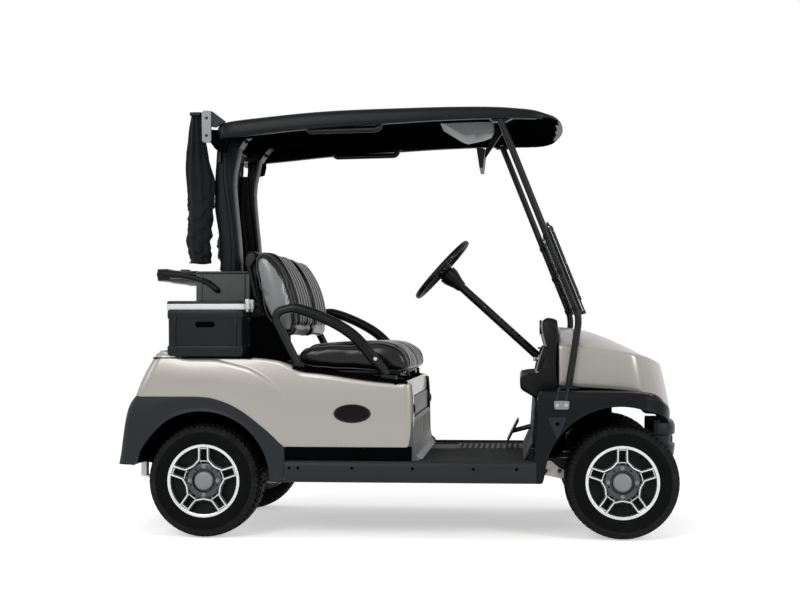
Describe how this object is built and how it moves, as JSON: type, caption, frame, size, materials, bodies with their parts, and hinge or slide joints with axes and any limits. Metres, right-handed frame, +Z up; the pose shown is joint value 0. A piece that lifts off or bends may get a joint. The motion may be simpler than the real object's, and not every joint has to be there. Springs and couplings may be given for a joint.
{
  "type": "golf cart",
  "caption": "Two-seat electric golf cart with a canopy roof, folding windshield, bag rack and side cooler.",
  "frame": {"origin": "on the ground under the middle of the cart's overall length and width", "axes": "+X forward, +Y to the driver's left, +Z up"},
  "size_m": [2.33, 1.2, 1.7479],
  "materials": {
    "body_paint": "metallic champagne",
    "dark_plastic": "moulded charcoal",
    "black_plastic": "satin black",
    "floor_mat": "ribbed mat",
    "frame_metal": "satin",
    "steel": "black painted",
    "tyre": "moulded rubber",
    "rim": "machined",
    "vinyl": "glossy ribbed vinyl",
    "clear": "clear acrylic",
    "cloth": "gathered canvas"
  },
  "bodies": {
    "chassis": {"bag_covers": "cloth", "bag_rack": "black_plastic", "bag_well": "dark_plastic", "battery_pack": "black_plastic", "chassis_frame": "frame_metal", "cooler_box": "dark_plastic", "dashboard": "dark_plastic", "floor_pan": "floor_mat", "front_axle": "steel", "front_bumper": "dark_plastic", "front_cowl": "body_paint", "front_fenders": "dark_plastic", "front_springs": "steel", "front_struts": "frame_metal", "grab_handles": "black_plastic", "hip_restraints": "black_plastic", "kick_panel": "body_paint", "mirror": "dark_plastic", "pedals": "dark_plastic", "rear_axle": "steel", "rear_body": "body_paint", "rear_bumper": "dark_plastic", "rear_springs": "steel", "rear_struts": "dark_plastic", "rear_underbody": "dark_plastic", "roof_canopy": "dark_plastic", "seat_back_frame": "dark_plastic", "seat_backs": "vinyl", "seat_base": "dark_plastic", "sills": "dark_plastic", "steering_column": "black_plastic", "steering_gear": "steel", "sweater_basket": "dark_plastic", "windshield_lower": "clear"},
    "wheel_rear_right": {"tyre_rear_right": "tyre", "rim_rear_right": "rim"},
    "wheel_rear_left": {"tyre_rear_left": "tyre", "rim_rear_left": "rim"},
    "wheel_front_right": {"tyre_front_right": "tyre", "rim_front_right": "rim"},
    "wheel_front_left": {"tyre_front_left": "tyre", "rim_front_left": "rim"},
    "knuckle_right": {"knuckle_right": "steel"},
    "knuckle_left": {"knuckle_left": "steel"},
    "tie_rod": {"tie_rod": "steel"},
    "pitman_arm": {"pitman_arm": "steel"},
    "steering_wheel": {"steering_wheel": "black_plastic"},
    "upper_pane": {"windshield_upper": "clear"},
    "cooler_lid": {"cooler_lid": "black_plastic"},
    "seat_lid": {"seat_bottom": "vinyl"}
  },
  "joints": [
    {"name": "spin_rear_right", "type": "hinge", "parent": "chassis", "child": "wheel_rear_right", "pos_m": [-0.778, -0.489, 0.2285], "axis": [0, 1, 0], "continuous": true},
    {"name": "spin_rear_left", "type": "hinge", "parent": "chassis", "child": "wheel_rear_left", "pos_m": [-0.778, 0.489, 0.2285], "axis": [0, 1, 0], "continuous": true},
    {"name": "steer_left", "type": "hinge", "parent": "chassis", "child": "knuckle_left", "pos_m": [0.886, 0.32, 0.226], "axis": [0, 0, 1], "range_deg": [-28, 28]},
    {"name": "steer_right", "type": "hinge", "parent": "chassis", "child": "knuckle_right", "pos_m": [0.886, -0.32, 0.226], "axis": [0, 0, 1], "range_deg": [-28, 28]},
    {"name": "spin_front_right", "type": "hinge", "parent": "knuckle_right", "child": "wheel_front_right", "pos_m": [0.886, -0.438, 0.2285], "axis": [0, 1, 0], "continuous": true},
    {"name": "spin_front_left", "type": "hinge", "parent": "knuckle_left", "child": "wheel_front_left", "pos_m": [0.886, 0.438, 0.2285], "axis": [0, 1, 0], "continuous": true},
    {"name": "tie_rod_pivot", "type": "hinge", "parent": "knuckle_left", "child": "tie_rod", "pos_m": [0.771, 0.32, 0.164], "axis": [0, 0, 1], "range_deg": [-28, 28]},
    {"name": "pitman_turn", "type": "hinge", "parent": "chassis", "child": "pitman_arm", "pos_m": [0.886, 0.055, 0.198], "axis": [0, 0, 1], "range_deg": [-28, 28]},
    {"name": "steering_wheel_turn", "type": "hinge", "parent": "chassis", "child": "steering_wheel", "pos_m": [0.134, 0.27, 1.108], "axis": [-0.7396, 0, 0.673], "range_deg": [-336, 336]},
    {"name": "windshield_fold", "type": "hinge", "parent": "chassis", "child": "upper_pane", "pos_m": [0.59564, 0, 1.26417], "axis": [0, -1, 0], "range_deg": [0, 180]},
    {"name": "cooler_lid_hinge", "type": "hinge", "parent": "chassis", "child": "cooler_lid", "pos_m": [-0.923, -0.4915, 0.93], "axis": [0, -1, 0], "range_deg": [0, 100]},
    {"name": "seat_lift", "type": "hinge", "parent": "chassis", "child": "seat_lid", "pos_m": [0.022, 0, 0.641], "axis": [0, 1, 0], "range_deg": [0, 45]}
  ],
  "couplings": [
    {"joint": "steer_right", "follows": "steer_left", "ratio": 1},
    {"joint": "tie_rod_pivot", "follows": "steer_left", "ratio": -1},
    {"joint": "pitman_turn", "follows": "steer_left", "ratio": 1},
    {"joint": "steering_wheel_turn", "follows": "steer_left", "ratio": 12}
  ]
}
